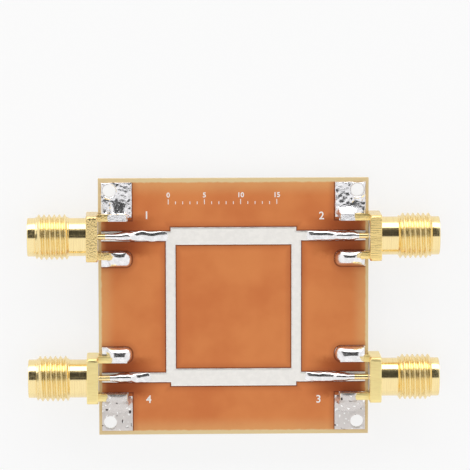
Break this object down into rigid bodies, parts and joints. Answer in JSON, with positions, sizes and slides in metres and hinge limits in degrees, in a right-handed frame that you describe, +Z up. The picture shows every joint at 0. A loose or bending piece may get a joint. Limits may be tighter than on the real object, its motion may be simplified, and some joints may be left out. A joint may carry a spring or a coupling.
{
  "type": "power divider module",
  "caption": "Flat unmasked circuit board with an etched branch-line ring and threaded coaxial jacks soldered to its side edges, which splits or combines microwave power.",
  "frame": {"origin": "middle of the part on the surface that its four flanges rest on", "axes": "+X from the left-hand jacks to the right-hand ones, +Y from the lower jacks to the upper ones, +Z up from the ground plane's side to the coupler's side"},
  "size_m": [0.0568, 0.0358, 0.0063],
  "materials": {
    "laminate": "satin",
    "tinned_copper": "satin",
    "gold_plate": "satin",
    "insulator": "satin",
    "solder": "polished"
  },
  "bodies": {
    "root": {"board": "laminate", "ground_plane": "tinned_copper", "coupler_trace": "tinned_copper", "corner_pad_in": "tinned_copper", "corner_pad_out1": "tinned_copper", "corner_pad_out2": "tinned_copper", "corner_pad_load": "tinned_copper", "side_pad_in": "tinned_copper", "side_pad_out1": "tinned_copper", "side_pad_out2": "tinned_copper", "side_pad_load": "tinned_copper", "jack_body_in": "gold_plate", "jack_body_out1": "gold_plate", "jack_body_out2": "gold_plate", "jack_body_load": "gold_plate", "jack_contact_in": "gold_plate", "jack_contact_out1": "gold_plate", "jack_contact_out2": "gold_plate", "jack_contact_load": "gold_plate", "jack_insulator_in": "insulator", "jack_insulator_out1": "insulator", "jack_insulator_out2": "insulator", "jack_insulator_load": "insulator", "via_fill_in": "solder", "via_fill_out1": "solder", "via_fill_out2": "solder", "via_fill_load": "solder", "tail_solder_in": "solder", "tail_solder_out1": "solder", "tail_solder_out2": "solder", "tail_solder_load": "solder", "corner_leg_solder_in": "solder", "corner_leg_solder_out1": "solder", "corner_leg_solder_out2": "solder", "corner_leg_solder_load": "solder", "side_leg_solder_in": "solder", "side_leg_solder_out1": "solder", "side_leg_solder_out2": "solder", "side_leg_solder_load": "solder", "under_leg_solder_in": "solder", "under_leg_solder_out1": "solder", "under_leg_solder_out2": "solder", "under_leg_solder_load": "solder"}
  },
  "joints": []
}
